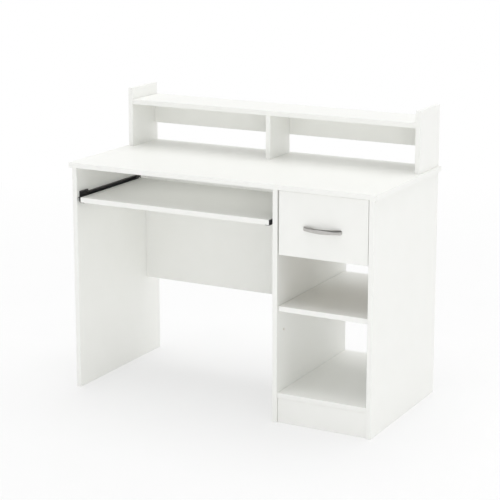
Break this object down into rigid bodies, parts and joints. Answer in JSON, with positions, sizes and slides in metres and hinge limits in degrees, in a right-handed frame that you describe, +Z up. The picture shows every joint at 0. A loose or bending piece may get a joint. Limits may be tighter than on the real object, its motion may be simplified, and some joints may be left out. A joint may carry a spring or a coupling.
{
  "type": "student desk",
  "caption": "White melamine student desk with a low hutch, a keyboard tray on roller runners, and a cabinet with a drawer and open shelves.",
  "frame": {"origin": "on the floor, under the middle of the desk's overall box", "axes": "+X to the right of a person at the desk, +Y from the front to the rear, +Z up"},
  "size_m": [1.065, 0.515, 0.938],
  "materials": {
    "melamine": "white melamine, fine satin grain",
    "hardboard": "white lacquered face",
    "pin_steel": "nickel plated",
    "handle_metal": "satin nickel",
    "screw_steel": "zinc plated",
    "runner_steel": "black epoxy coat",
    "axle_steel": "zinc plated",
    "roller_nylon": "moulded nylon"
  },
  "bodies": {
    "desk": {"desktop": "melamine", "left_leg_panel": "melamine", "centre_partition": "melamine", "right_side_panel": "melamine", "modesty_panel": "melamine", "bottom_shelf": "melamine", "kick_plate": "melamine", "adjustable_shelf": "melamine", "hutch_left_side": "melamine", "hutch_right_side": "melamine", "hutch_divider": "melamine", "hutch_shelf": "melamine", "hutch_rail": "melamine", "shelf_pins": "pin_steel", "tray_left_channel": "runner_steel", "tray_right_channel": "runner_steel", "drawer_left_channel": "runner_steel", "drawer_right_channel": "runner_steel", "channel_axles": "axle_steel"},
    "tray": {"keyboard_tray": "melamine", "tray_left_rail": "runner_steel", "tray_right_rail": "runner_steel", "tray_axles": "axle_steel"},
    "drawer": {"drawer_front": "melamine", "drawer_left_side": "melamine", "drawer_right_side": "melamine", "drawer_back": "melamine", "drawer_bottom": "hardboard", "drawer_handle": "handle_metal", "handle_screws": "screw_steel", "drawer_left_rail": "runner_steel", "drawer_right_rail": "runner_steel", "drawer_axles": "axle_steel"},
    "tray_left_front_roller_body": {"tray_left_front_roller": "roller_nylon"},
    "tray_left_rear_roller_body": {"tray_left_rear_roller": "roller_nylon"},
    "tray_right_front_roller_body": {"tray_right_front_roller": "roller_nylon"},
    "tray_right_rear_roller_body": {"tray_right_rear_roller": "roller_nylon"},
    "drawer_left_front_roller_body": {"drawer_left_front_roller": "roller_nylon"},
    "drawer_left_rear_roller_body": {"drawer_left_rear_roller": "roller_nylon"},
    "drawer_right_front_roller_body": {"drawer_right_front_roller": "roller_nylon"},
    "drawer_right_rear_roller_body": {"drawer_right_rear_roller": "roller_nylon"}
  },
  "joints": [
    {"name": "tray_slide", "type": "slide", "parent": "desk", "child": "tray", "axis": [0, -1, 0], "range_m": [0, 0.25]},
    {"name": "drawer_slide", "type": "slide", "parent": "desk", "child": "drawer", "axis": [0, -1, 0], "range_m": [0, 0.25]},
    {"name": "tray_left_front_roller_turn", "type": "hinge", "parent": "desk", "child": "tray_left_front_roller_body", "pos_m": [-0.50175, -0.2105, 0.623], "axis": [1, 0, 0], "continuous": true},
    {"name": "tray_left_rear_roller_turn", "type": "hinge", "parent": "tray", "child": "tray_left_rear_roller_body", "pos_m": [-0.49855, 0.11715, 0.6332], "axis": [1, 0, 0], "continuous": true},
    {"name": "tray_right_front_roller_turn", "type": "hinge", "parent": "desk", "child": "tray_right_front_roller_body", "pos_m": [0.18875, -0.2105, 0.623], "axis": [1, 0, 0], "continuous": true},
    {"name": "tray_right_rear_roller_turn", "type": "hinge", "parent": "tray", "child": "tray_right_rear_roller_body", "pos_m": [0.18555, 0.11715, 0.6332], "axis": [1, 0, 0], "continuous": true},
    {"name": "drawer_left_front_roller_turn", "type": "hinge", "parent": "desk", "child": "drawer_left_front_roller_body", "pos_m": [0.21425, -0.2045, 0.55], "axis": [1, 0, 0], "continuous": true},
    {"name": "drawer_left_rear_roller_turn", "type": "hinge", "parent": "drawer", "child": "drawer_left_rear_roller_body", "pos_m": [0.21745, 0.12315, 0.5602], "axis": [1, 0, 0], "continuous": true},
    {"name": "drawer_right_front_roller_turn", "type": "hinge", "parent": "desk", "child": "drawer_right_front_roller_body", "pos_m": [0.50175, -0.2045, 0.55], "axis": [1, 0, 0], "continuous": true},
    {"name": "drawer_right_rear_roller_turn", "type": "hinge", "parent": "drawer", "child": "drawer_right_rear_roller_body", "pos_m": [0.49855, 0.12315, 0.5602], "axis": [1, 0, 0], "continuous": true}
  ],
  "couplings": [
    {"joint": "tray_left_front_roller_turn", "follows": "tray_slide", "rad_per_m": 129.03},
    {"joint": "tray_left_rear_roller_turn", "follows": "tray_slide", "rad_per_m": 129.03},
    {"joint": "tray_right_front_roller_turn", "follows": "tray_slide", "rad_per_m": 129.03},
    {"joint": "tray_right_rear_roller_turn", "follows": "tray_slide", "rad_per_m": 129.03},
    {"joint": "drawer_left_front_roller_turn", "follows": "drawer_slide", "rad_per_m": 129.03},
    {"joint": "drawer_left_rear_roller_turn", "follows": "drawer_slide", "rad_per_m": 129.03},
    {"joint": "drawer_right_front_roller_turn", "follows": "drawer_slide", "rad_per_m": 129.03},
    {"joint": "drawer_right_rear_roller_turn", "follows": "drawer_slide", "rad_per_m": 129.03}
  ]
}
